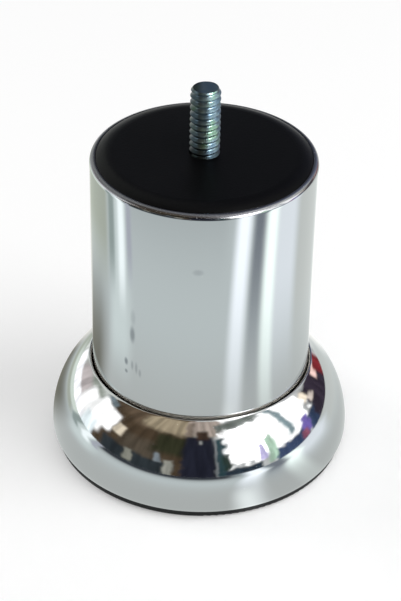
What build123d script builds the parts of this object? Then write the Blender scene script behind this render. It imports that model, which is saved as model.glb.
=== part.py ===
from build123d import *
import math
import os

# A round chrome sofa leg. A plated tube stands in a moulded foot pad and runs up through a
# bulged ring pressed from sheet. A plastic plug closes the tube's top and holds the bolt that
# screws into the sofa. Millimetres, +Z up, origin on the floor at the middle of the foot.

# Tube
leg_height = 89.8  # floor to the plug's face, which the sofa rests on
tube_radius = 30.0
tube_wall = 1.5
rim_round = 1.35  # outer edge at the top, polished over almost the whole wall
edge_break = 0.3  # both edges of the hidden lower end

# Pressed ring, measured on its outside
ring_sheet = 1.0
ring_overhang = 11.5  # how far the belt stands out past the tube
belt_height = 4.2  # height of the widest line
dome_arc = 26.4  # radius of the dome's section, from the belt up to the tube
curl_angle = 42.0  # how far the lower edge turns in under the belt
ring_gap = 0.2  # all round, between the ring's upper edge and the tube
lip_round = 0.35  # both corners of the upper edge

# Foot pad
pad_rim_height = 1.4  # the black edge that shows under the ring
pad_edge_round = 0.4
tube_seat_height = 4.0  # floor to the tube's lower end
seat_margin = 4.5  # plate past the tube
spigot_height = 14.0
spigot_wall = 1.8
spigot_relief = 0.8  # spigot inside the tube's bore, bridged by the crush ribs
crush_rib_radius = 0.8
crush_rib_count = 12
crush_rib_setback = 2.0  # below the spigot's top, as a lead-in
fit_clearance = 0.03  # what grips the bore, at its tips
hub_radius = 6.0
pad_rib_height = 6.0  # ribs inside the spigot
pad_rib_width = 1.8
pad_rib_count = 8
core_depth = 1.8  # hollows in the underside
load_land = 2.0  # solid underside within the tube's wall
finger_count = 8
finger_angle = 18.0
finger_wall = 1.4
finger_height = 5.0
finger_gap = 0.15  # to the ring's turned-in lip
hook_reach = 0.85
hook_slope = 3.0  # height of the hook's lead-in
hook_gap = 0.3  # above the lip

# Top plug
plug_gap = 0.1
plug_rise = 1.3  # the plug's face above the tube's rim
plug_shoulder = 7.5  # radius of the soft shoulder from the face down to the rim
plug_face = 3.0  # plate below the rim
plug_edge_round = 0.3
skirt_depth = 16.0
skirt_wall = 1.8
skirt_relief = 0.9  # skirt inside the bore, bridged by the barbs
barb_count = 3
barb_pitch = 4.0
barb_land = 0.4
barb_slope = 2.2
boss_radius = 10.5
boss_depth = 22.0
plug_web_width = 1.8
plug_web_depth = 11.0
plug_web_count = 8

# Bolt
bolt_radius = 4.0
bolt_reach = 18.8  # above the plug's face
bolt_seat_depth = 16.3  # that face down to the underside of the head
bolt_tip_taper = 1.0
bolt_tip_radius = 3.3
shank_radius = 3.55  # the blank that the thread is rolled on
head_flats = 13.0
head_height = 5.3
head_chamfer_angle = 30.0
head_flat_share = 0.95  # of the width across flats, at the head's end face
bolt_gap = 0.1  # around the bolt in its hole
head_gap = 0.05  # around the head in its pocket

# Sizes that follow from those
bore_radius = tube_radius - tube_wall
grip_radius = bore_radius - fit_clearance
rim_height = leg_height - plug_rise
belt_radius = tube_radius + ring_overhang
dome_centre = belt_radius - dome_arc
dome_angle = math.degrees(math.acos((tube_radius + ring_gap - dome_centre) / (dome_arc - ring_sheet)))
curl_drop = belt_height - pad_rim_height
curl_arc = curl_drop / math.sin(math.radians(curl_angle))
spigot_radius = bore_radius - spigot_relief
spigot_top = tube_seat_height + spigot_height
skirt_radius = bore_radius - skirt_relief
head_seat = leg_height - bolt_seat_depth
bolt_top = leg_height + bolt_reach


def turned(*points):
    """A solid turned about the leg's axis from the corners (radius, height) of its section."""
    return revolve(Plane.XZ * make_face(Polyline(*points, close=True)), Axis.Z)


def hoop(inner, outer, low, high):
    """A plain ring between two radii and two heights."""
    return turned((inner, low), (outer, low), (outer, high), (inner, high))


def disc(radius, low, high):
    """A plain round plate between two heights."""
    return turned((0, low), (radius, low), (radius, high), (0, high))


def widest(edges):
    """The circle of largest radius in a group of edges."""
    return edges.filter_by(GeomType.CIRCLE).sort_by(SortBy.RADIUS)[-1]


def ring_of(piece, count, radius=0.0):
    """Copies of a piece at even turns about the axis, each carried out to a radius."""
    return [place * piece for place in PolarLocations(radius, count)]


def spokes(inner, outer, width, low, high, count):
    """Radial ribs from one radius to another."""
    rib = Pos((outer - inner) / 2, 0, low) * Box(
        outer - inner, width, high - low, align=(Align.CENTER, Align.CENTER, Align.MIN)
    )
    return ring_of(rib, count, inner)


def tube():
    """The plated tube, its rim softly rounded where it shows."""
    body = hoop(bore_radius, tube_radius, tube_seat_height, rim_height)
    body = fillet(widest(body.edges().group_by(Axis.Z)[-1]), rim_round)
    return chamfer(body.edges().filter_by(GeomType.CIRCLE).group_by(Axis.Z)[0], edge_break)


def ring_line(depth):
    """The ring's section from its trimmed edge up to the tube, at a depth under the outside.

    Two tangent arcs make it: the curl under the belt and the dome. The same centres serve
    both sides of the sheet, and the inner side ends clear of the tube by the ring's gap.
    """
    trim = math.degrees(math.asin(curl_drop / (curl_arc - depth)))
    return [
        CenterArc((belt_radius - curl_arc, belt_height), curl_arc - depth, -trim, trim),
        CenterArc((dome_centre, belt_height), dome_arc - depth, 0, dome_angle),
    ]


def lip_radius(depth):
    """Where the ring's trimmed edge meets the pad, on the outside or the inside of the sheet."""
    return belt_radius - curl_arc + math.sqrt((curl_arc - depth) ** 2 - curl_drop**2)


def base_ring():
    """The bulged ring, pressed from one sheet, with its pierced top and turned-in lower edge."""
    outside = ring_line(0)
    inside = ring_line(ring_sheet)
    trimmed_edge = Line(inside[0] @ 0, outside[0] @ 0)
    upper_edge = Line(outside[-1] @ 1, inside[-1] @ 1)
    section = make_face([*outside, upper_edge, *inside, trimmed_edge])
    ring = revolve(Plane.XZ * section, Axis.Z)
    corners = ring.edges().filter_by(GeomType.CIRCLE).group_by(Axis.Z)[-2:]
    return fillet(corners[0] + corners[1], lip_round)


def snap_finger():
    """One springy finger of the pad, hooked over the ring's turned-in lip."""
    face = lip_radius(ring_sheet) - finger_gap
    tip = face + hook_reach
    across = tip - (belt_radius - curl_arc)
    lip_surface = belt_height - math.sqrt((curl_arc - ring_sheet) ** 2 - across**2)
    catch = lip_surface + hook_gap
    top = pad_rim_height + finger_height
    section = make_face(
        Polyline(
            (face - finger_wall, 0),
            (face, 0),
            (face, catch),
            (tip, catch),
            (face, catch + hook_slope),
            (face, top),
            (face - finger_wall, top),
            close=True,
        )
    )
    return Rot(0, 0, -finger_angle / 2) * revolve(Plane.XZ * section, Axis.Z, finger_angle)


def pad_core():
    """The hollows moulded into the underside, divided by spokes that carry on down to the floor."""
    hollow = hoop(hub_radius, bore_radius - load_land, 0, core_depth)
    ribs = spokes(hub_radius / 2, bore_radius, pad_rib_width, 0, core_depth, pad_rib_count)
    return hollow - ribs


def foot_pad():
    """The moulded pad: rim under the ring, seat and spigot for the tube, fingers for the ring."""
    pad = disc(lip_radius(0), 0, pad_rim_height)
    pad = fillet(widest(pad.edges().group_by(Axis.Z)[0]), pad_edge_round)
    pad += disc(tube_radius + seat_margin, 0, tube_seat_height)
    spigot = hoop(spigot_radius - spigot_wall, spigot_radius, tube_seat_height, spigot_top)
    pad += chamfer(widest(spigot.edges().group_by(Axis.Z)[-1]), spigot_wall / 2)
    rib_top = tube_seat_height + pad_rib_height
    pad += disc(hub_radius, tube_seat_height, rib_top)
    web_end = spigot_radius - spigot_wall / 2
    pad += spokes(hub_radius / 2, web_end, pad_rib_width, tube_seat_height, rib_top, pad_rib_count)
    crush_rib = Pos(0, 0, tube_seat_height) * Cylinder(
        crush_rib_radius,
        spigot_height - crush_rib_setback,
        align=(Align.CENTER, Align.CENTER, Align.MIN),
    )
    pad += ring_of(crush_rib, crush_rib_count, grip_radius - crush_rib_radius)
    pad += ring_of(snap_finger(), finger_count)
    return pad - pad_core()


def barb(height):
    """A ring of sawtooth section round the plug's skirt, flat on top so that it can't back out."""
    root = skirt_radius - skirt_wall / 2
    slope_end = height - barb_land - barb_slope
    return turned(
        (root, height),
        (grip_radius, height),
        (grip_radius, height - barb_land),
        (skirt_radius, slope_end),
        (root, slope_end),
    )


def bolt_pocket():
    """The bolt's hole and the hexagonal pocket that keeps its head from turning."""
    boss_foot = rim_height - boss_depth
    hole = disc(bolt_radius + bolt_gap, boss_foot, leg_height)
    flats = RegularPolygon(head_flats / 2 + head_gap, 6, major_radius=False)
    return hole + extrude(Pos(0, 0, boss_foot) * flats, head_seat - boss_foot)


def plug_plate():
    """The plug's plate: a flat raised face and a soft shoulder down to the tube's rim."""
    edge = bore_radius - plug_gap
    foot = rim_height - plug_face
    centre_height = leg_height - plug_shoulder
    start = math.degrees(math.asin((plug_shoulder - plug_rise) / plug_shoulder))
    centre_radius = edge - plug_shoulder * math.cos(math.radians(start))
    shoulder = CenterArc((centre_radius, centre_height), plug_shoulder, start, 90 - start)
    sides = Polyline(shoulder @ 1, (0, leg_height), (0, foot), (edge, foot), shoulder @ 0)
    plate = revolve(Plane.XZ * make_face([shoulder, *sides.edges()]), Axis.Z)
    rim_corner = plate.edges().filter_by(GeomType.CIRCLE).group_by(Axis.Z)[1]
    return fillet(rim_corner, plug_edge_round)


def top_plug():
    """The moulded plug: raised face, barbed skirt, webs and the boss that holds the bolt."""
    plate_foot = rim_height - plug_face
    skirt_foot = rim_height - skirt_depth
    plug = plug_plate()
    plug += hoop(skirt_radius - skirt_wall, skirt_radius, skirt_foot, plate_foot)
    lowest = skirt_foot + barb_land + barb_slope
    plug += [barb(lowest + step * barb_pitch) for step in range(barb_count)]
    plug += disc(boss_radius, rim_height - boss_depth, plate_foot)
    plug += spokes(
        boss_radius - skirt_wall,
        skirt_radius - skirt_wall / 2,
        plug_web_width,
        plate_foot - plug_web_depth,
        plate_foot,
        plug_web_count,
    )
    return plug - bolt_pocket()


def bolt_head():
    """The hexagonal head, chamfered round its lower corners."""
    foot = head_seat - head_height
    hexagon = extrude(Pos(0, 0, foot) * RegularPolygon(head_flats / 2, 6, major_radius=False), head_height)
    flat_radius = head_flats / 2 * head_flat_share
    corner_radius = head_flats
    rise = (corner_radius - flat_radius) * math.tan(math.radians(head_chamfer_angle))
    envelope = turned(
        (0, foot),
        (flat_radius, foot),
        (corner_radius, foot + rise),
        (corner_radius, foot + head_height + rise),
        (0, foot + head_height + rise),
    )
    return hexagon & envelope


def stud_bolt():
    """The bolt: its head, its plain shank in the plug, and the full diameter above the face."""
    run_out = bolt_radius - shank_radius
    shank = turned(
        (0, head_seat),
        (shank_radius, head_seat),
        (shank_radius, leg_height - run_out),
        (bolt_radius, leg_height),
        (bolt_radius, bolt_top - bolt_tip_taper),
        (bolt_tip_radius, bolt_top),
        (0, bolt_top),
    )
    return bolt_head() + shank


pieces = {
    "tube": tube,
    "base_ring": base_ring,
    "foot_pad": foot_pad,
    "top_plug": top_plug,
    "stud_bolt": stud_bolt,
}

os.makedirs("parts", exist_ok=True)
for name, make in pieces.items():
    export_step(make(), f"parts/{name}.step")
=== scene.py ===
"""The looks of a round chrome sofa leg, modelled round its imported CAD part, on a studio floor."""

import math

import bpy
from mathutils import Matrix, Vector


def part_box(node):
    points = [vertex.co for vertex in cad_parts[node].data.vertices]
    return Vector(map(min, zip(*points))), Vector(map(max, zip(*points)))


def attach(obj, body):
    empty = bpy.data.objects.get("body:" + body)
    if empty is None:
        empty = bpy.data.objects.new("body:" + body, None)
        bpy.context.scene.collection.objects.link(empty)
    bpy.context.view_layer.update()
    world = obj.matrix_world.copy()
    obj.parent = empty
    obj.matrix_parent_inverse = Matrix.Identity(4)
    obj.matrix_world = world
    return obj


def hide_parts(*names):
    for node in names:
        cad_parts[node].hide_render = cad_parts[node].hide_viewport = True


bl_info = {
    "name": "Chrome Sofa Leg",
    "version": (1, 0, 0),
    "blender": (4, 5, 0),
    "location": "3D View > Sidebar > Sofa Leg",
    "description": "Builds a chrome sofa leg with its ring, plug, pad and threaded stud, and its studio",
    "category": "Object",
}

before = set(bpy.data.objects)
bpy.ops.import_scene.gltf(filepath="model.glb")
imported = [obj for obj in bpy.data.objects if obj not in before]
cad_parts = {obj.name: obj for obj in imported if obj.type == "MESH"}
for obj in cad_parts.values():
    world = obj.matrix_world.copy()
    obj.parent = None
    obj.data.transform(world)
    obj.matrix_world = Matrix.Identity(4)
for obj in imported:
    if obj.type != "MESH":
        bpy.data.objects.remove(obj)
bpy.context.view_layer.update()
MM = 0.001
RIM_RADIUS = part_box("tube")[1].x
RIM_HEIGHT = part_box("tube")[1].z
FACE_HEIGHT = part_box("top_plug")[1].z
TUBE_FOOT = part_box("tube")[0].z
BELT_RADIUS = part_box("base_ring")[1].x
RING_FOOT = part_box("base_ring")[0].z
STUD_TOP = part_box("stud_bolt")[1].z
BOLT_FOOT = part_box("stud_bolt")[0].z

# Facets round the tube and the ring, and the angle from which an edge stays sharp.
FACETS = 256
SHARP_FROM = math.radians(40)
# The same for the thread, then the facets of the tools that trim it, of the shank and of the stage.
THREAD_FACETS = 72
THREAD_SHARP_FROM = math.radians(42)
CUTTER_FACETS = 96
SHANK_FACETS = 64
STAGE_FACETS = 64


def linear(hex_code):
    """The linear colour of an sRGB hex value."""
    parts = [int(hex_code[i : i + 2], 16) / 255 for i in (1, 3, 5)]
    return tuple(c / 12.92 if c <= 0.04045 else ((c + 0.055) / 1.055) ** 2.4 for c in parts)


def length(name, default, about):
    """A length property, in metres."""
    return bpy.props.FloatProperty(
        name=name,
        description=about,
        default=default,
        min=0.0,
        precision=5,
        subtype="DISTANCE",
        unit="LENGTH",
    )


def amount(name, default, about, **kind):
    """A plain number property that isn't negative."""
    return bpy.props.FloatProperty(name=name, description=about, default=default, min=0.0, **kind)


def colour(name, hex_code, about):
    """A colour property."""
    return bpy.props.FloatVectorProperty(
        name=name,
        description=about,
        default=linear(hex_code),
        min=0.0,
        max=1.0,
        size=3,
        subtype="COLOR",
    )


class LegSizes(bpy.types.PropertyGroup):
    """Sizes of the leg's pieces."""

    tube_radius: length("Tube radius", RIM_RADIUS, "Outer radius of the tube")
    tube_wall: length("Tube wall", 1.5 * MM, "Thickness of the tube's wall")
    rim_round: length("Rim rounding", 1.35 * MM, "Rounding of the rim's outer edge")
    edge_break: length("Edge break", 0.3 * MM, "Bevel of the tube's lower edges")
    ring_sheet: length("Ring sheet", 1.0 * MM, "Thickness of the sheet that the ring is pressed from")
    belt_radius: length("Belt radius", BELT_RADIUS, "Radius of the ring at its widest")
    belt_height: length("Belt height", 4.2 * MM, "Height of the ring's widest line")
    dome_arc: length("Dome arc", 26.4 * MM, "Radius of the arc that the dome is pressed to")
    ring_gap: length("Ring gap", 0.2 * MM, "Between the tube and the ring's upper edge")
    lip_round: length("Lip rounding", 0.35 * MM, "Rounding of the upper edge's corners")
    curl_angle: bpy.props.FloatProperty(
        name="Curl angle",
        description="How far the ring's lower edge turns in",
        default=math.radians(42),
        subtype="ANGLE",
        unit="ROTATION",
    )
    thread_radius: length("Thread radius", 4.0 * MM, "Radius over the thread's crests")
    thread_pitch: length("Thread pitch", 1.75 * MM, "Rise of the thread in one turn")
    thread_depth: length("Thread depth", 0.85 * MM, "From the thread's crest to its root")
    tip_taper: length("Tip taper", 1.0 * MM, "Height of the chamfer at the stud's tip")
    tip_radius: length("Tip radius", 3.3 * MM, "Radius of the stud's flat end")
    shank_radius: length("Shank radius", 3.55 * MM, "Radius of the plain shank inside the plug")
    head_flats: length("Head across flats", 13.0 * MM, "Width of the bolt's hexagonal head")
    head_height: length("Head height", 5.3 * MM, "Height of the bolt's head")


class LegColours(bpy.types.PropertyGroup):
    """Base colours of the leg's finishes."""

    chrome: colour("Chrome", "#C4C5C5", "Chromium plate seen straight on")
    zinc: colour("Zinc plate", "#7A8E96", "Blue-passivated zinc plate")
    plug: colour("Plug", "#060607", "Black moulded polypropylene")
    pad: colour("Pad", "#101011", "Black moulded polyethylene")


class StudioSettings(bpy.types.PropertyGroup):
    """The floor, the light and the camera."""

    floor_colour: colour("Floor", "#E8E8E8", "Plain pale studio floor")
    floor_lift: amount("Floor lift", 0.22, "Glow that brings the floor to the backdrop's white")
    daylight: amount("Surrounding light", 0.55, "Strength of the soft light from all round")
    window_light: amount("Window light", 3.0, "Brightness of the two soft boxes")
    window_glow: amount("Window glow", 1.0, "Brightness of the windows that the metal reflects")
    camera_distance: length("Camera distance", 521.397 * MM, "From the camera to the point it aims at")
    camera_aim: length("Aim height", 42.721 * MM, "Height of the point that the camera aims at")
    camera_lens: amount("Lens", 114.01, "Focal length", subtype="DISTANCE_CAMERA", unit="CAMERA")


# Small tools for modelling by hand


def clear_selection():
    """Leaves edit mode and deselects everything."""
    if bpy.context.object and bpy.context.object.mode != "OBJECT":
        bpy.ops.object.mode_set(mode="OBJECT")
    bpy.ops.object.select_all(action="DESELECT")


def named(name):
    """Names the active object and its mesh, and returns the object."""
    piece = bpy.context.object
    piece.name = name
    piece.data.name = name
    return piece


def choose(*pieces):
    """Selects pieces alone and makes the last one active."""
    clear_selection()
    for piece in pieces:
        piece.select_set(True)
    bpy.context.view_layer.objects.active = pieces[-1]


def settle(piece):
    """Puts a piece's place into its mesh, with its object at the origin."""
    choose(piece)
    bpy.ops.object.transform_apply(location=True, rotation=True, scale=True)


def apply_modifier(piece, kind, **settings):
    """Adds a modifier to the active piece with its settings, and applies it."""
    bpy.ops.object.modifier_add(type=kind)
    modifier = piece.modifiers[-1]
    for key, value in settings.items():
        setattr(modifier, key, value)
    bpy.ops.object.modifier_apply(modifier=modifier.name)


def start_line(name, radius, height):
    """A new piece that is one vertex so far, in edit mode, at a radius and height in the front plane."""
    clear_selection()
    bpy.ops.mesh.primitive_plane_add(size=0.01, location=(0, 0, 0))
    piece = named(name)
    bpy.ops.object.mode_set(mode="EDIT")
    bpy.ops.mesh.select_mode(type="VERT")
    bpy.ops.mesh.select_all(action="SELECT")
    bpy.ops.mesh.merge(type="CENTER")
    bpy.ops.transform.translate(value=(radius, 0, height))
    return piece


def draw_line(across, up):
    """Extends the section by a straight line."""
    bpy.ops.mesh.extrude_vertices_move(TRANSFORM_OT_translate={"value": (across, 0, up)})


def draw_arc(centre, turn, steps):
    """Extends the section by an arc about a centre, counter-clockwise when the turn is positive."""
    bpy.ops.mesh.spin(steps=steps, angle=turn, center=(centre[0], 0, centre[1]), axis=(0, 1, 0))


def turn_about_axis(steps):
    """Turns the drawn section about the leg's axis into a closed skin with its faces outwards."""
    bpy.ops.mesh.select_all(action="SELECT")
    bpy.ops.mesh.remove_doubles(threshold=1e-7)
    bpy.ops.mesh.spin(steps=steps, angle=2 * math.pi, center=(0, 0, 0), axis=(0, 0, 1))
    bpy.ops.mesh.select_all(action="SELECT")
    bpy.ops.mesh.remove_doubles(threshold=1e-6)
    bpy.ops.mesh.normals_make_consistent(inside=False)
    bpy.ops.object.mode_set(mode="OBJECT")


def turned_piece(name, points, steps):
    """A solid of revolution whose section starts and ends on the axis."""
    piece = start_line(name, *points[0])
    for here, there in zip(points, points[1:]):
        draw_line(there[0] - here[0], there[1] - here[1])
    turn_about_axis(steps)
    return piece


def keep_common(piece, other):
    """Cuts a piece down to what it shares with another, which then goes."""
    choose(piece)
    apply_modifier(piece, "BOOLEAN", operation="INTERSECT", solver="EXACT", object=other)
    bpy.data.objects.remove(other)
    if not piece.data.polygons:
        raise RuntimeError(f"nothing is left of {piece.name}")


# Materials


def add(tree, kind, settings=None, inputs=None):
    """Adds a node with its settings; an input is a value or another node's output."""
    node = tree.nodes.new(kind)
    for key, value in (settings or {}).items():
        setattr(node, key, value)
    for key, value in (inputs or {}).items():
        if isinstance(value, bpy.types.NodeSocket):
            tree.links.new(value, node.inputs[key])
        else:
            node.inputs[key].default_value = value
    return node


def new_material(name):
    """An empty node material and its output node."""
    material = bpy.data.materials.new(name)
    material.use_nodes = True
    material.node_tree.nodes.clear()
    return material, material.node_tree, material.node_tree.nodes.new("ShaderNodeOutputMaterial")


def opaque(rgb):
    """A colour with full alpha."""
    return (*rgb, 1.0)


WHITE = opaque((1.0, 1.0, 1.0))
BLACK = opaque((0.0, 0.0, 0.0))


def object_place(tree):
    """The place in a piece's own coordinates."""
    return add(tree, "ShaderNodeTexCoord").outputs["Object"]


def sums(tree, operation, *values):
    """The output of a math node that carries out an operation."""
    return add(tree, "ShaderNodeMath", {"operation": operation}, dict(enumerate(values))).outputs[0]


def vectors(tree, operation, *values):
    """The outputs of a vector math node that carries out an operation."""
    return add(tree, "ShaderNodeVectorMath", {"operation": operation}, dict(enumerate(values))).outputs


def noise(tree, place, scale, detail):
    """The outputs of a noise with a scale and a detail."""
    inputs = {"Vector": place, "Scale": scale, "Detail": detail}
    return add(tree, "ShaderNodeTexNoise", inputs=inputs).outputs


def bump(tree, height, strength, distance):
    """The normal of a surface that a height raises by a distance."""
    inputs = {"Height": height, "Strength": strength, "Distance": distance}
    return add(tree, "ShaderNodeBump", inputs=inputs).outputs["Normal"]


def fade(tree, value, start, end, low=0.0, high=1.0):
    """A smooth change from low to high while a value goes from start to end."""
    ends = {"Value": value, "From Min": start, "From Max": end, "To Min": low, "To Max": high}
    return add(tree, "ShaderNodeMapRange", {"interpolation_type": "SMOOTHSTEP"}, ends).outputs["Result"]


def ramp(tree, value, start, end, low, high):
    """A straight change from low to high while a value goes from start to end."""
    ends = {"Value": value, "From Min": start, "From Max": end, "To Min": low, "To Max": high}
    return add(tree, "ShaderNodeMapRange", inputs=ends).outputs["Result"]


def band(tree, angle, middle, half, soft):
    """1 within a band of angles in degrees, falling to 0 over its soft edges."""
    off = sums(tree, "WRAP", sums(tree, "SUBTRACT", angle, math.radians(middle)), math.pi, -math.pi)
    edges = (math.radians(half - soft / 2), math.radians(half + soft / 2))
    return fade(tree, sums(tree, "ABSOLUTE", off), *edges, 1.0, 0.0)


def angles_round(tree, place):
    """The azimuth of a place about the leg's axis, and its parts."""
    xyz = add(tree, "ShaderNodeSeparateXYZ", inputs={0: place}).outputs
    back = sums(tree, "MULTIPLY", xyz["Y"], -1.0)
    return sums(tree, "ARCTAN2", xyz["X"], back), xyz


def paint_over(tree, mask, under, over):
    """A colour laid over another where a mask is 1."""
    return add(tree, "ShaderNodeMix", {"data_type": "RGBA"}, {0: mask, 6: under, 7: over}).outputs[2]


def surface(tree, output, inputs):
    """Gives a material its principled surface."""
    shader = add(tree, "ShaderNodeBsdfPrincipled", inputs=inputs)
    tree.links.new(shader.outputs[0], output.inputs["Surface"])


# Scuffs on the tube: azimuth in degrees, then height, half width and half height in
# millimetres, and how much they dull the plate.
TUBE_SCUFFS = [
    (-36.8, 48.0, 0.95, 2.8, 0.5),
    (-36.3, 53.5, 0.9, 2.6, 0.16),
    (-41.0, 38.4, 0.7, 1.3, 0.6),
    (-41.0, 35.2, 0.6, 0.7, 0.5),
    (-37.0, 38.0, 0.5, 1.6, 0.3),
    (-34.4, 37.6, 0.5, 2.0, 0.28),
    (-32.2, 36.4, 0.5, 1.4, 0.26),
    (-2.0, 71.8, 1.5, 1.0, 0.2),
]
SCUFF_TONE = "#3C4450"
# The rim was brushed but not polished before plating, down to a millimetre under its top.
RIM_TONE = "#6A6A6E"
RIM_BAND = (RIM_HEIGHT - 1.0 * MM, RIM_HEIGHT - 0.45 * MM)


def scuffed(tree, place, tone, radius):
    """The tube's colour, duller where something has rubbed it."""
    dull = opaque(linear(SCUFF_TONE))
    for turn, height, wide, tall, depth in TUBE_SCUFFS:
        angle = math.radians(turn)
        middle = (radius * math.sin(angle), -radius * math.cos(angle), height * MM)
        off = vectors(tree, "SUBTRACT", place, middle)[0]
        share = vectors(tree, "DIVIDE", off, (wide * MM, wide * MM, tall * MM))[0]
        away = vectors(tree, "LENGTH", share)["Value"]
        tone = paint_over(tree, fade(tree, away, 0.3, 1.3, depth, 0.0), tone, dull)
    return tone


def brushed_rim_and_highlight(tree, place, tone, rough):
    """The tube's colour and roughness, greyer and duller on its brushed rim, with a painted highlight on
    the rim's side towards the window.
    """
    azimuth, xyz = angles_round(tree, place)
    rim = fade(tree, xyz["Z"], *RIM_BAND)
    # Painted highlight: on the side that faces the window on the right, about azimuth 62, the grey rim
    # tone goes on at half strength, so the rim is brighter there.
    bright = band(tree, azimuth, 62, 32, 30)
    rim = sums(tree, "MULTIPLY", rim, sums(tree, "MULTIPLY_ADD", bright, -0.5, 1.0))
    tone = paint_over(tree, rim, tone, opaque(linear(RIM_TONE)))
    return tone, sums(tree, "MULTIPLY_ADD", rim, 0.2, rough)


def chrome_material(name, rgb, roughness, wave_height, tube_radius=None):
    """Bright chromium plate over polished steel: a cool mirror with faint waves and a trace of haze.

    A tube radius adds the tube's own marks, its scuffs, its brushed rim and the painted highlight on the
    rim.
    """
    material, tree, output = new_material(name)
    place = object_place(tree)
    # Pressing and buffing leave waves about 9 mm long.
    waves = noise(tree, place, 110.0, 1.0)["Fac"]
    # Handling leaves a haze in patches about 12 mm wide.
    haze = noise(tree, place, 80.0, 4.0)["Fac"]
    rough = ramp(tree, haze, 0.35, 0.75, roughness, roughness * 1.7)
    tone = opaque(rgb)
    if tube_radius is not None:
        tone = scuffed(tree, place, tone, tube_radius)
        tone, rough = brushed_rim_and_highlight(tree, place, tone, rough)
    normal = bump(tree, waves, 1.0, wave_height)
    surface(tree, output, {"Base Color": tone, "Metallic": 1.0, "Roughness": rough, "Normal": normal})
    return material


def pierced_edge_material(rgb):
    """Thin chromium plate over a pierced edge and the sheet's inside: pale, dull and a little brown."""
    material, tree, output = new_material("Dull chromium plate, pierced edge")
    brown = (1.0, 0.92, 0.82)
    tone = opaque(tuple(c * share for c, share in zip(rgb, brown)))
    surface(tree, output, {"Base Color": tone, "Metallic": 0.35, "Roughness": 0.55})
    return material


def zinc_material(rgb):
    """Blue-passivated zinc plate on rolled steel: satin, with a film that shifts from blue to green."""
    material, tree, output = new_material("Blue-passivated zinc plate")
    place = object_place(tree)
    film = noise(tree, place, 260.0, 2.0)["Fac"]
    tint = add(tree, "ShaderNodeValToRGB", inputs={"Fac": film})
    stops = tint.color_ramp.elements
    stops[0].position = 0.35
    stops[0].color = opaque(linear("#6C8494"))
    stops[1].position = 0.68
    stops[1].color = opaque(linear("#7C9A88"))
    middle = stops.new(0.5)
    middle.color = opaque(rgb)
    # Painted shade: the plate is darker on its -X side, away from the window on the right. It is also
    # darker within 5 mm above the plug, a painted reflection of the black plug.
    xyz = add(tree, "ShaderNodeSeparateXYZ", inputs={0: place}).outputs
    beside = fade(tree, xyz["X"], -3.0 * MM, 1.5 * MM, 0.22, 1.7)
    above = fade(tree, xyz["Z"], FACE_HEIGHT, FACE_HEIGHT + 5 * MM, 0.22, 1.0)
    painted_shade = sums(tree, "MULTIPLY", beside, above)
    tone = paint_over(tree, painted_shade, BLACK, tint.outputs["Color"])
    # Rolling and plating leave a grain finer than half a millimetre.
    grain = noise(tree, place, 2500.0, 3.0)["Fac"]
    normal = bump(tree, grain, 0.4, 0.03 * MM)
    surface(tree, output, {"Base Color": tone, "Metallic": 1.0, "Roughness": 0.3, "Normal": normal})
    return material


def moulded_material(name, rgb, roughness, shine, grain_mm):
    """Black moulded plastic with the fine grain of an eroded mould, and sheen that varies a little."""
    material, tree, output = new_material(name)
    place = object_place(tree)
    grain = noise(tree, place, 1000.0 / grain_mm, 2.0)["Fac"]
    # The plastic's flow leaves the sheen uneven in patches about 17 mm wide.
    flow = noise(tree, place, 60.0, 3.0)["Fac"]
    rough = ramp(tree, flow, 0.0, 1.0, roughness - 0.08, roughness + 0.08)
    inputs = {
        "Base Color": opaque(rgb),
        "Roughness": rough,
        "Specular IOR Level": shine,
        "Normal": bump(tree, grain, 0.5, 0.1 * grain_mm * MM),
    }
    surface(tree, output, inputs)
    return material


def finish(piece, material, replaced):
    """Gives a new piece its finish, hangs it under the root body and hides the CAD node that it
    replaces.
    """
    piece.data.materials.clear()
    piece.data.materials.append(material)
    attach(piece, "root")
    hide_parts(replaced)


def refinish(node_name, material):
    """Gives a CAD node a better material."""
    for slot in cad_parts[node_name].material_slots:
        slot.material = material


# The pieces


class LEG_OT_tube(bpy.types.Operator):
    """Model the chrome-plated tube with its rounded rim"""

    bl_idname = "leg.tube"
    bl_label = "Tube"

    def execute(self, context):
        sizes = context.scene.leg_sizes
        clear_selection()
        bpy.ops.mesh.primitive_cylinder_add(
            vertices=FACETS,
            radius=sizes.tube_radius,
            depth=RIM_HEIGHT - TUBE_FOOT,
            end_fill_type="NOTHING",
            location=(0, 0, (RIM_HEIGHT + TUBE_FOOT) / 2),
        )
        tube = named("chrome_tube")
        settle(tube)
        apply_modifier(tube, "SOLIDIFY", thickness=sizes.tube_wall, offset=-1.0)
        bore = sizes.tube_radius - sizes.tube_wall
        bevel_circle(tube, sizes.tube_radius, RIM_HEIGHT, sizes.rim_round, segments=10)
        bevel_circle(tube, bore, TUBE_FOOT, sizes.edge_break, segments=1)
        bevel_circle(tube, sizes.tube_radius, TUBE_FOOT, sizes.edge_break, segments=1)
        bpy.ops.object.mode_set(mode="EDIT")
        bpy.ops.mesh.select_all(action="SELECT")
        bpy.ops.mesh.normals_make_consistent(inside=False)
        bpy.ops.object.mode_set(mode="OBJECT")
        bpy.ops.object.shade_smooth_by_angle(angle=SHARP_FROM)
        apply_modifier(tube, "WEIGHTED_NORMAL", weight=100, keep_sharp=True)
        plate = context.scene.leg_colours.chrome
        name = "Bright chromium plate, tube"
        chrome = chrome_material(name, plate, 0.06, 0.006 * MM, sizes.tube_radius)
        finish(tube, chrome, "tube")
        return {"FINISHED"}


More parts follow.
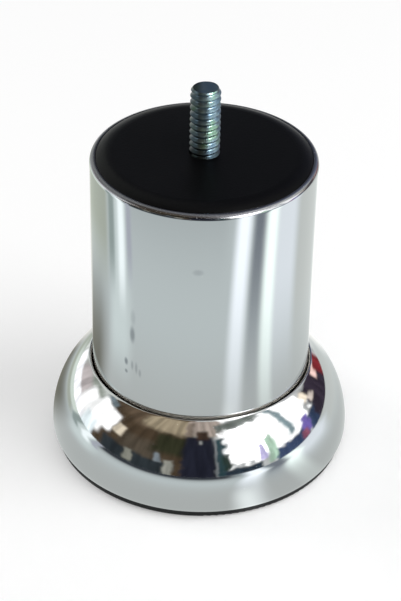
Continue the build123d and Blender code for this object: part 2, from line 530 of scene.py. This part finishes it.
def bevel_circle(piece, radius, height, width, segments):
    """Bevels the circle of edges at a radius and height."""
    bpy.ops.object.mode_set(mode="EDIT")
    bpy.ops.mesh.select_mode(type="EDGE")
    bpy.ops.mesh.select_all(action="DESELECT")
    bpy.ops.object.mode_set(mode="OBJECT")
    near = 0.02 * MM
    on_it = [
        abs(math.hypot(point.co.x, point.co.y) - radius) < near and abs(point.co.z - height) < near
        for point in piece.data.vertices
    ]
    for edge in piece.data.edges:
        edge.select = all(on_it[i] for i in edge.vertices)
    bpy.ops.object.mode_set(mode="EDIT")
    bpy.ops.mesh.bevel(
        offset=width, offset_type="OFFSET", segments=segments, profile=0.5, affect="EDGES"
    )
    bpy.ops.object.mode_set(mode="OBJECT")


class LEG_OT_base_ring(bpy.types.Operator):
    """Draw the pressed ring's section arc by arc and turn it about the axis"""

    bl_idname = "leg.base_ring"
    bl_label = "Base ring"

    def execute(self, context):
        sizes = context.scene.leg_sizes
        sheet, lip = sizes.ring_sheet, sizes.lip_round
        # The curl is an arc from the turned-in edge on the floor up to the belt.
        drop = sizes.belt_height - RING_FOOT
        curl_arc = drop / math.sin(sizes.curl_angle)
        curl = (sizes.belt_radius - curl_arc, sizes.belt_height)
        outer_edge = curl[0] + curl_arc * math.cos(sizes.curl_angle)
        inner_trim = math.asin(drop / (curl_arc - sheet))
        inner_edge = curl[0] + (curl_arc - sheet) * math.cos(inner_trim)
        # The dome is one arc from the belt to the gap beside the tube.
        dome = (sizes.belt_radius - sizes.dome_arc, sizes.belt_height)
        inner_arc = sizes.dome_arc - sheet
        rise = math.acos((sizes.tube_radius + sizes.ring_gap - dome[0]) / inner_arc)
        # The pierced edge is a flat between two rounded corners.
        outer_corner = sizes.dome_arc - lip
        inner_corner = inner_arc + lip
        outer_turn = math.asin(lip / outer_corner)
        inner_turn = math.asin(lip / inner_corner)
        flat = math.sqrt(outer_corner**2 - lip**2) - math.sqrt(inner_corner**2 - lip**2)
        ring = start_line("chrome_base_ring", outer_edge, RING_FOOT)
        draw_arc(curl, sizes.curl_angle, steps=16)
        draw_arc(dome, rise - outer_turn, steps=60)
        draw_arc(on_circle(dome, outer_corner, rise - outer_turn), math.pi / 2 + outer_turn, steps=6)
        draw_line(-flat * math.cos(rise), -flat * math.sin(rise))
        draw_arc(on_circle(dome, inner_corner, rise - inner_turn), math.pi / 2 - inner_turn, steps=6)
        draw_arc(dome, inner_turn - rise, steps=20)
        draw_arc(curl, -inner_trim, steps=8)
        draw_line(outer_edge - inner_edge, 0)
        turn_about_axis(FACETS)
        settle(ring)
        bpy.ops.object.shade_smooth_by_angle(angle=SHARP_FROM)
        plate = context.scene.leg_colours.chrome
        chrome = chrome_material("Bright chromium plate, ring", plate, 0.05, 0.01 * MM)
        finish(ring, chrome, "base_ring")
        ring.data.materials.append(pierced_edge_material(plate))
        # Above the belt, what lies a third of the sheet's depth or more under the dome is left dull.
        for face in ring.data.polygons:
            out = math.hypot(face.center.x, face.center.y) - dome[0]
            depth = sizes.dome_arc - math.hypot(out, face.center.z - dome[1])
            if depth > 0.3 * sheet and face.center.z > sizes.belt_height:
                face.material_index = 1
        return {"FINISHED"}


def on_circle(centre, radius, angle):
    """The section's point at an angle on a circle."""
    return centre[0] + radius * math.cos(angle), centre[1] + radius * math.sin(angle)


class LEG_OT_bolt(bpy.types.Operator):
    """Wind the stud's rolled thread, and add the shank and hexagonal head that the plug holds"""

    bl_idname = "leg.bolt"
    bl_label = "Threaded bolt"

    def execute(self, context):
        sizes = context.scene.leg_sizes
        # The thread starts a little under the plug's face.
        low = FACE_HEIGHT - 1.0 * MM
        thread = self.thread(sizes, low)
        head = self.head(sizes)
        # The shank reaches a little into the head.
        foot = BOLT_FOOT + sizes.head_height - 0.1 * MM
        section = [(0, foot), (sizes.shank_radius, foot), (sizes.shank_radius, low), (0, low)]
        shank = turned_piece("shank", section, SHANK_FACETS)
        choose(head, shank, thread)
        bpy.ops.object.join()
        settle(thread)
        bpy.ops.object.shade_smooth_by_angle(angle=THREAD_SHARP_FROM)
        finish(thread, zinc_material(context.scene.leg_colours.zinc), "stud_bolt")
        return {"FINISHED"}

    def thread(self, sizes, low):
        """The thread from a height up to the stud's chamfered tip."""
        pitch = sizes.thread_pitch
        # One tooth, from root to root, in shares of the pitch and of the thread's depth: rounded as
        # thread rolling leaves it.
        tooth = [
            (0.00, 0.00),
            (0.07, 0.03),
            (0.16, 0.18),
            (0.30, 0.55),
            (0.40, 0.86),
            (0.46, 0.98),
            (0.54, 0.98),
            (0.60, 0.86),
            (0.70, 0.55),
            (0.84, 0.18),
            (0.93, 0.03),
            (1.00, 0.00),
        ]
        # Two turns more below and one above are cut off again.
        turns = math.ceil((STUD_TOP - low) / pitch) + 3
        thread = start_line("threaded_bolt", sizes.thread_radius - sizes.thread_depth, low - 2 * pitch)
        for (rise, out), (next_rise, next_out) in zip(tooth, tooth[1:]):
            draw_line((next_out - out) * sizes.thread_depth, (next_rise - rise) * pitch)
        bpy.ops.object.mode_set(mode="OBJECT")
        apply_modifier(
            thread,
            "SCREW",
            axis="Z",
            angle=2 * math.pi,
            screw_offset=pitch,
            iterations=turns,
            steps=THREAD_FACETS,
            render_steps=THREAD_FACETS,
            use_merge_vertices=True,
            merge_threshold=1e-6,
        )
        bpy.ops.object.mode_set(mode="EDIT")
        for height, side in ((low, "clear_inner"), (STUD_TOP + 0.3 * MM, "clear_outer")):
            bpy.ops.mesh.select_all(action="SELECT")
            bpy.ops.mesh.remove_doubles(threshold=1e-6)
            cut = {"plane_co": (0, 0, height), "plane_no": (0, 0, 1), "use_fill": True, side: True}
            bpy.ops.mesh.bisect(**cut)
        bpy.ops.mesh.select_all(action="SELECT")
        bpy.ops.mesh.normals_make_consistent(inside=False)
        bpy.ops.object.mode_set(mode="OBJECT")
        section = [
            (0, low - pitch),
            (sizes.thread_radius, low - pitch),
            (sizes.thread_radius, STUD_TOP - sizes.tip_taper),
            (sizes.tip_radius, STUD_TOP),
            (0, STUD_TOP),
        ]
        keep_common(thread, turned_piece("chamfer_cutter", section, CUTTER_FACETS))
        return thread

    def head(self, sizes):
        """The hexagonal head, its lower corners turned down."""
        half_side = math.radians(30)
        slope = math.radians(30)
        clear_selection()
        bpy.ops.mesh.primitive_cylinder_add(
            vertices=6,
            radius=sizes.head_flats / 2 / math.cos(half_side),
            depth=sizes.head_height,
            location=(0, 0, BOLT_FOOT + sizes.head_height / 2),
            rotation=(0, 0, half_side),
        )
        head = named("bolt_head")
        settle(head)
        # The turned corners leave a round flat that is a little narrower than the head.
        wide = sizes.head_flats
        flat = wide / 2 * 0.95
        rise = (wide - flat) * math.tan(slope)
        top = BOLT_FOOT + sizes.head_height + rise
        section = [(0, BOLT_FOOT), (flat, BOLT_FOOT), (wide, BOLT_FOOT + rise), (wide, top), (0, top)]
        keep_common(head, turned_piece("head_cutter", section, CUTTER_FACETS))
        return head


class LEG_OT_plastics(bpy.types.Operator):
    """Give the plug and the foot pad their moulded black plastics"""

    bl_idname = "leg.plastics"
    bl_label = "Plug and pad"

    def execute(self, context):
        colours = context.scene.leg_colours
        plug = moulded_material("Moulded black polypropylene", colours.plug, 0.34, 0.06, grain_mm=0.5)
        refinish("top_plug", plug)
        pad = moulded_material("Moulded black polyethylene", colours.pad, 0.55, 0.3, grain_mm=0.6)
        refinish("foot_pad", pad)
        return {"FINISHED"}


# The studio

# The floor and, on it, the card that only metal sees. Both lie a little under the foot.
FLOOR_SIZE = 12.0
FLOOR_DROP = 0.2 * MM
CARD_RADIUS = 1.45
CARD_DROP = 0.1 * MM
TENT_RADIUS = 1.5
BACKDROP_WHITE = 0.97
# Each soft box: its name, its azimuth and elevation in degrees, and its side in metres.
SOFT_BOXES = [
    ("window_right", 72, 50, 0.85),
    ("window_left", -112, 36, 0.55),
]
SOFT_BOX_DISTANCE = 1.2
# The camera looks down by its tilt, leans by its roll and looks aside by its pan, from a place a
# little beside the leg's middle.
CAMERA_TILT = math.radians(34.537)
CAMERA_ROLL = math.radians(1.129)
CAMERA_PAN = math.radians(0.0752)
CAMERA_BESIDE = -0.946 * MM
SENSOR_WIDTH = 36.0
CLIP_START = 10 * MM
# The chrome gives back this share of what it reflects. A colour of the tent or the card is the one
# that is seen in the chrome.
CHROME_SHARE = 0.555
TENT_WALL = "#B6B8B8"
# Painted shade: the card's colour near the leg is darker than its colour further out.
CARD_NEAR_SHADE = "#A8ACAB"
CARD_FAR = "#B4BCBD"
# Each patch of the tent: azimuth and half width, elevation and half height, softness of its
# edges and how far they are torn, all in degrees, its colour and its brightness. Azimuth 0 is
# the camera's side and 90 is +X. A later patch lies over an earlier one, and one brighter than 1
# follows the windows' glow.
TENT_PATCHES = [
    # Behind the leg: dim walls, which the plug's face and the stud's side give back.
    (158, 20, 40, 32, 14, 10, "#6A7086", 1.0),
    (180, 22, 34, 18, 14, 0, "#464A54", 1.0),
    # Left: pale walls, and the brown room beside them.
    (-130, 30, 30, 34, 10, 7, "#C4C8C4", 1.0),
    (-116, 18, 16, 9, 7, 7, "#B4ACAC", 1.0),
    (-112, 13, 28, 5, 7, 7, "#8E948C", 1.0),
    (-122, 22, 2, 7, 4, 7, "#F2F2F6", 1.2),
    (-52, 46, 44, 48, 6, 16, "#463A2D", 1.0),
    (-46, 18, 20, 10, 9, 18, "#4E463C", 1.0),
    (-76, 24, 68, 9, 8, 16, "#5C4E3E", 1.0),
    (-70, 20, 52, 9, 8, 18, "#5A4C3E", 1.0),
    # The ceiling over the camera.
    (-22, 38, 57, 10, 7, 14, "#978A74", 1.0),
    (8, 22, 59, 11, 6, 12, "#A4978E", 1.0),
    (-10, 4, 56, 9, 5, 12, "#75695F", 1.0),
    # Straight ahead: dark olive, then a dark navy column.
    (-24, 14, 34, 11, 9, 14, "#2F3022", 1.0),
    (0, 13, 22, 25, 4, 11, "#1F212C", 1.0),
    (4, 6, 49, 5, 4, 8, "#3C2E26", 1.0),
    (2, 1.3, 41, 2, 2, 2, "#8E8E8C", 1.0),
    # The dark line of the horizon and pale things that stand before it.
    (-48, 29, 4, 9, 5, 10, "#2A3034", 1.0),
    (-54, 3.5, 8, 6, 3, 7, "#8A8A80", 1.0),
    (-31, 2.5, 17, 5, 3, 7, "#6E767C", 1.0),
    (-22, 3.5, 8, 9, 4, 8, "#8E8E86", 1.0),
    # The window on the left.
    (-88, 13, 26, 10, 5, 5, "#FFFFFF", 1.25),
    (-98, 15, 17, 10, 6, 5, "#FFFFFF", 1.15),
    (-94, 7, 5, 9, 4, 5, "#E0EAEE", 1.1),
    (-69, 4.5, 26, 5.5, 3, 5, "#CFC3AF", 1.0),
    (-95, 7, 39, 3, 4, 8, "#68747A", 1.0),
    # The large window on the right, with leaves before its edge and a bar over it.
    (60, 43, 31, 21, 3, 34, "#FFFFFF", 1.35),
    (44, 13, 32, 17, 8, 10, "#FFFFFF", 8.0),
    (78, 48, 72, 11, 6, 12, "#FFFFFF", 1.3),
    (45, 28, 56, 4.5, 5, 14, "#646A66", 1.0),
    (18, 4.5, 22, 22, 4, 16, "#2A4046", 1.0),
    (80, 3.5, 34, 18, 4, 12, "#7F949A", 1.0),
    (33, 1.2, 43, 5, 1.5, 5, "#C4C6C2", 1.0),
    (50, 2.8, 17, 9, 3, 5, "#C8C0EA", 1.0),
    (58, 4.5, 16, 14, 4, 5, "#AECBB6", 1.0),
    # Right overhead it is pale again.
    (0, 190, 86, 9, 6, 0, "#B4B8B8", 1.0),
    # What stands under the window and beside it.
    (34, 14, -1, 8, 3, 14, "#26313C", 1.0),
    (21, 3.5, 16, 8, 3, 20, "#27352F", 1.0),
    (76, 15, 3, 8, 4, 14, "#3A4866", 1.0),
    (93, 5, 10, 8, 4, 12, "#6E5FA6", 1.0),
    (88, 3, 4, 4, 3, 6, "#8A5266", 1.0),
    (104, 8, 5, 9, 4, 12, "#33405A", 1.0),
    (121, 15, 12, 16, 4, 14, "#332C38", 1.0),
    (108, 4, 25, 4, 3, 8, "#F4E6D2", 1.0),
    (112, 3.5, 18, 3, 3, 8, "#E8DAD0", 1.0),
    (133, 5, 14, 4, 3, 7, "#F0CCC4", 1.0),
    (139, 6, 6, 7, 4, 7, "#7A2A30", 1.0),
]
# A patch is torn less in height than across.
TEAR_HEIGHT = 0.6
# Each streak on the floor: azimuth where it is 100 mm from the axis, half width and softness in
# degrees, the distances in millimetres between which it fades in, its colour and brightness. A
# streak that fades out instead has its distances the other way round.
FLOOR_STREAKS = [
    # The dim far part, towards the camera and on the right.
    (-30, 48, 18, 110, 330, "#30343A", 1.0),
    (45, 26, 14, 150, 420, "#7A868C", 1.0),
    (100, 28, 16, 170, 450, "#8C928C", 1.0),
    # On the left, first the leg's own shadow as a painted shadow, dark near the leg and fading out away
    # from it.
    (-126, 24, 28, 140, 50, "#62625A", 1.0),
    (-158, 16, 12, 40, 60, "#BEBEBA", 1.0),
    (-122, 24, 10, 95, 140, "#9EA49A", 1.0),
    (-112, 24, 14, 160, 260, "#CAD4CC", 1.0),
    (-80, 12, 14, 60, 90, "#C4CECE", 1.0),
    (-91, 4.5, 5, 100, 135, "#8A9694", 1.0),
    (-77, 4, 5, 95, 130, "#E8F0F2", 1.1),
    (-67, 3, 4, 110, 140, "#A2A6B0", 1.0),
    # On the right: the window's two bright streaks, a dark one between them, and light near the ring.
    (116, 22, 16, 50, 110, "#B8BCBA", 1.0),
    (157, 16, 14, 40, 60, "#DADBD8", 1.0),
    (79, 15, 14, 50, 130, "#D8DEE4", 1.0),
    (61, 6, 8, 20, 140, "#F0FCF8", 1.15),
    (31, 6.5, 9, 10, 160, "#F2F8FF", 1.1),
    (46.5, 5.5, 7, 40, 165, "#70767E", 1.0),
    (28, 5, 10, 74, 48, "#E2E8E8", 1.0),
]
# The streaks lean away from the camera by this much a metre, about a point 100 mm from the axis
# and as far as 170 mm.
STREAK_LEAN = math.radians(115)
LEAN_ABOUT = 100 * MM
LEAN_UP_TO = 170 * MM


def in_chrome(hex_code, strength):
    """The light that the chrome shows as a colour."""
    return tuple(c * strength / CHROME_SHARE for c in linear(hex_code))


def give_glow(material, tree, output, paint, strength):
    """Lets a stage piece shine in a colour, without lighting the leg by itself."""
    light = add(tree, "ShaderNodeEmission", inputs={"Color": paint, "Strength": strength})
    tree.links.new(light.outputs[0], output.inputs["Surface"])
    material.cycles.emission_sampling = "NONE"


def tent_material(glow):
    """The studio tent and the room seen through it: pale walls, a brown ceiling, two bright windows."""
    material, tree, output = new_material("Studio tent")
    place = object_place(tree)
    azimuth, xyz = angles_round(tree, place)
    elevation = sums(tree, "ARCSINE", sums(tree, "DIVIDE", xyz["Z"], TENT_RADIUS))
    tears = noise(tree, place, 4.5, 4.0)["Color"]
    split = add(tree, "ShaderNodeSeparateColor", inputs={0: tears}).outputs
    paint = opaque(in_chrome(TENT_WALL, 1.0))
    for turn, half_width, rise, half_height, soft, torn, hex_code, strength in TENT_PATCHES:
        # The noise is a half on average, so a patch that it moves is set back by half its tears.
        reach = math.radians(torn)
        across = sums(tree, "MULTIPLY_ADD", split[0], reach, azimuth)
        up = sums(tree, "MULTIPLY_ADD", split[1], TEAR_HEIGHT * reach, elevation)
        beside = band(tree, across, turn + torn / 2, half_width, soft)
        above = band(tree, up, rise + TEAR_HEIGHT * torn / 2, half_height, soft)
        shade = in_chrome(hex_code, strength * glow if strength > 1.0 else strength)
        paint = paint_over(tree, sums(tree, "MULTIPLY", beside, above), paint, opaque(shade))
    # Things that stand upright in the room leave faint upright streaks.
    stretched = {0: sums(tree, "MULTIPLY", azimuth, 11.0), 1: sums(tree, "MULTIPLY", elevation, 1.6)}
    flat = add(tree, "ShaderNodeCombineXYZ", inputs=stretched).outputs[0]
    strength = fade(tree, noise(tree, flat, 1.0, 4.0)["Fac"], 0.3, 0.7, 0.72, 1.28)
    give_glow(material, tree, output, paint, strength)
    return material


def floor_card_material():
    """The pale floor as metal shows it, with the windows' streaks round the leg, the leg's painted
    shadow, painted shade near the leg and its dim far part.
    """
    material, tree, output = new_material("Floor card")
    place = object_place(tree)
    azimuth = angles_round(tree, place)[0]
    reach = vectors(tree, "LENGTH", place)["Value"]
    past = sums(tree, "SUBTRACT", sums(tree, "MINIMUM", reach, LEAN_UP_TO), LEAN_ABOUT)
    away = sums(tree, "MULTIPLY", past, STREAK_LEAN)
    leaning = sums(tree, "SUBTRACT", azimuth, sums(tree, "MULTIPLY", away, sums(tree, "SIGN", azimuth)))
    # Painted shade: within 45 mm of the leg the card takes the darker near colour, blending to the far
    # colour by 110 mm.
    near = fade(tree, reach, 45 * MM, 110 * MM, 1.0, 0.0)
    far_paint, near_shade_paint = (opaque(in_chrome(tone, 1.0)) for tone in (CARD_FAR, CARD_NEAR_SHADE))
    paint = paint_over(tree, near, far_paint, near_shade_paint)
    for turn, half, soft, start, end, hex_code, strength in FLOOR_STREAKS:
        beside = band(tree, leaning, turn, half, soft)
        along = fade(tree, reach, start * MM, end * MM)
        mask = sums(tree, "MULTIPLY", beside, along)
        paint = paint_over(tree, mask, paint, opaque(in_chrome(hex_code, strength)))
    give_glow(material, tree, output, paint, 1.0)
    return material


def seen_ray(tree):
    """1 for rays from the camera, from metal and through glass, 0 for the rest."""
    rays = add(tree, "ShaderNodeLightPath").outputs
    seen = sums(tree, "MAXIMUM", rays["Is Camera Ray"], rays["Is Glossy Ray"])
    return sums(tree, "MAXIMUM", seen, rays["Is Transmission Ray"])


def floor_material(rgb, lift):
    """Matt white studio paper that keeps the leg's shadow. It can be looked through from below."""
    material, tree, output = new_material("White studio paper")
    paper = add(tree, "ShaderNodeBsdfDiffuse", inputs={"Color": opaque(rgb)})
    level = sums(tree, "MULTIPLY", seen_ray(tree), lift)
    glow = add(tree, "ShaderNodeEmission", inputs={"Color": WHITE, "Strength": level})
    sheet = add(tree, "ShaderNodeAddShader", inputs={0: paper.outputs[0], 1: glow.outputs[0]})
    under = add(tree, "ShaderNodeNewGeometry").outputs["Backfacing"]
    clear = add(tree, "ShaderNodeBsdfTransparent")
    mix = add(tree, "ShaderNodeMixShader", inputs={0: under, 1: sheet.outputs[0], 2: clear.outputs[0]})
    tree.links.new(mix.outputs[0], output.inputs["Surface"])
    material.cycles.emission_sampling = "NONE"
    return material


def show_in_metal_only(piece):
    """Leaves a stage piece to rays that come from metal."""
    for ray in ("camera", "diffuse", "transmission", "volume_scatter", "shadow"):
        setattr(piece, f"visible_{ray}", False)


class LEG_OT_stage(bpy.types.Operator):
    """Set up the floor, the studio tent, the soft light and the camera"""

    bl_idname = "leg.stage"
    bl_label = "Studio"

    def execute(self, context):
        studio = context.scene.leg_studio
        self.floor(studio)
        self.tent(studio)
        self.world(context.scene, studio)
        for name, azimuth, elevation, side in SOFT_BOXES:
            self.soft_box(name, azimuth, elevation, side, studio.window_light)
        self.camera(context.scene, studio)
        context.scene.view_settings.view_transform = "Standard"
        return {"FINISHED"}

    def floor(self, studio):
        """The paper floor, and the card on it that only metal sees."""
        clear_selection()
        bpy.ops.mesh.primitive_plane_add(size=FLOOR_SIZE, location=(0, 0, -FLOOR_DROP))
        floor = named("studio_floor")
        settle(floor)
        floor.data.materials.append(floor_material(studio.floor_colour, studio.floor_lift))
        clear_selection()
        bpy.ops.mesh.primitive_circle_add(
            vertices=STAGE_FACETS, radius=CARD_RADIUS, fill_type="NGON", location=(0, 0, -CARD_DROP)
        )
        card = named("floor_card")
        settle(card)
        card.data.materials.append(floor_card_material())
        show_in_metal_only(card)

    def tent(self, studio):
        """A dome that metal reflects and the camera looks through."""
        clear_selection()
        bpy.ops.mesh.primitive_uv_sphere_add(
            segments=STAGE_FACETS, ring_count=STAGE_FACETS // 2, radius=TENT_RADIUS, location=(0, 0, 0)
        )
        bpy.ops.object.mode_set(mode="EDIT")
        bpy.ops.mesh.select_all(action="SELECT")
        bpy.ops.mesh.bisect(plane_co=(0, 0, 0), plane_no=(0, 0, 1), clear_inner=True)
        bpy.ops.object.mode_set(mode="OBJECT")
        tent = named("studio_tent")
        settle(tent)
        tent.data.materials.append(tent_material(studio.window_glow))
        show_in_metal_only(tent)

    def world(self, scene, studio):
        """White where it is seen, and a soft even light."""
        world = bpy.data.worlds.new("Studio daylight")
        scene.world = world
        world.use_nodes = True
        tree = world.node_tree
        tree.nodes.clear()
        level = ramp(tree, seen_ray(tree), 0.0, 1.0, studio.daylight, BACKDROP_WHITE)
        back = add(tree, "ShaderNodeBackground", inputs={"Color": WHITE, "Strength": level})
        output = add(tree, "ShaderNodeOutputWorld")
        tree.links.new(back.outputs[0], output.inputs["Surface"])

    def soft_box(self, name, azimuth, elevation, side, brightness):
        """A square soft box aimed at the leg; the tent stands for it in reflections."""
        turn, tilt = math.radians(azimuth), math.radians(elevation)
        level = math.cos(tilt)
        toward = Vector((math.sin(turn) * level, -math.cos(turn) * level, math.sin(tilt)))
        clear_selection()
        bpy.ops.object.light_add(type="AREA", location=toward * SOFT_BOX_DISTANCE)
        lamp = bpy.context.object
        lamp.name = name
        lamp.rotation_euler = toward.to_track_quat("Z", "Y").to_euler()
        lamp.data.size = side
        lamp.data.energy = brightness * side * side * math.pi
        lamp.visible_glossy = False
        lamp.visible_camera = False

    def camera(self, scene, studio):
        """The camera, looking down at the leg, turned a little about its own axis."""
        forward = Vector((0, math.cos(CAMERA_TILT), -math.sin(CAMERA_TILT)))
        side, over = Vector((1, 0, 0)), Vector((0, math.sin(CAMERA_TILT), math.cos(CAMERA_TILT)))
        right = side * math.cos(CAMERA_ROLL) + over * math.sin(CAMERA_ROLL)
        up = over * math.cos(CAMERA_ROLL) - side * math.sin(CAMERA_ROLL)
        eye = Vector((CAMERA_BESIDE, 0, studio.camera_aim)) - forward * studio.camera_distance
        forward, right = (
            forward * math.cos(CAMERA_PAN) + right * math.sin(CAMERA_PAN),
            right * math.cos(CAMERA_PAN) - forward * math.sin(CAMERA_PAN),
        )
        clear_selection()
        bpy.ops.object.camera_add()
        camera = bpy.context.object
        camera.name = "camera"
        turn = Matrix((right, up, -forward)).transposed().to_4x4()
        camera.matrix_world = Matrix.Translation(eye) @ turn
        camera.data.lens = studio.camera_lens
        camera.data.sensor_fit = "AUTO"
        camera.data.sensor_width = SENSOR_WIDTH
        camera.data.clip_start = CLIP_START
        scene.camera = camera


class LEG_PT_panel(bpy.types.Panel):
    """Buttons and sizes in the sidebar"""

    bl_idname = "LEG_PT_panel"
    bl_label = "Sofa Leg"
    bl_space_type = "VIEW_3D"
    bl_region_type = "UI"
    bl_category = "Sofa Leg"

    def draw(self, context):
        for operator in OPERATORS:
            self.layout.operator(operator.bl_idname)
        for group in (context.scene.leg_sizes, context.scene.leg_colours, context.scene.leg_studio):
            box = self.layout.box()
            for key in group.__annotations__:
                box.prop(group, key)


OPERATORS = (LEG_OT_tube, LEG_OT_base_ring, LEG_OT_bolt, LEG_OT_plastics, LEG_OT_stage)
GROUPS = {"leg_sizes": LegSizes, "leg_colours": LegColours, "leg_studio": StudioSettings}


def register():
    """Registers the property groups, the operators and the panel."""
    for name, group in GROUPS.items():
        bpy.utils.register_class(group)
        setattr(bpy.types.Scene, name, bpy.props.PointerProperty(type=group))
    for item in (*OPERATORS, LEG_PT_panel):
        bpy.utils.register_class(item)


def unregister():
    """Removes what register added."""
    for item in (LEG_PT_panel, *reversed(OPERATORS)):
        bpy.utils.unregister_class(item)
    for name, group in GROUPS.items():
        delattr(bpy.types.Scene, name)
        bpy.utils.unregister_class(group)


def main():
    """Builds the leg and its studio."""
    register()
    bpy.ops.leg.tube()
    bpy.ops.leg.base_ring()
    bpy.ops.leg.bolt()
    bpy.ops.leg.plastics()
    bpy.ops.leg.stage()


if __name__ == "__main__":
    main()
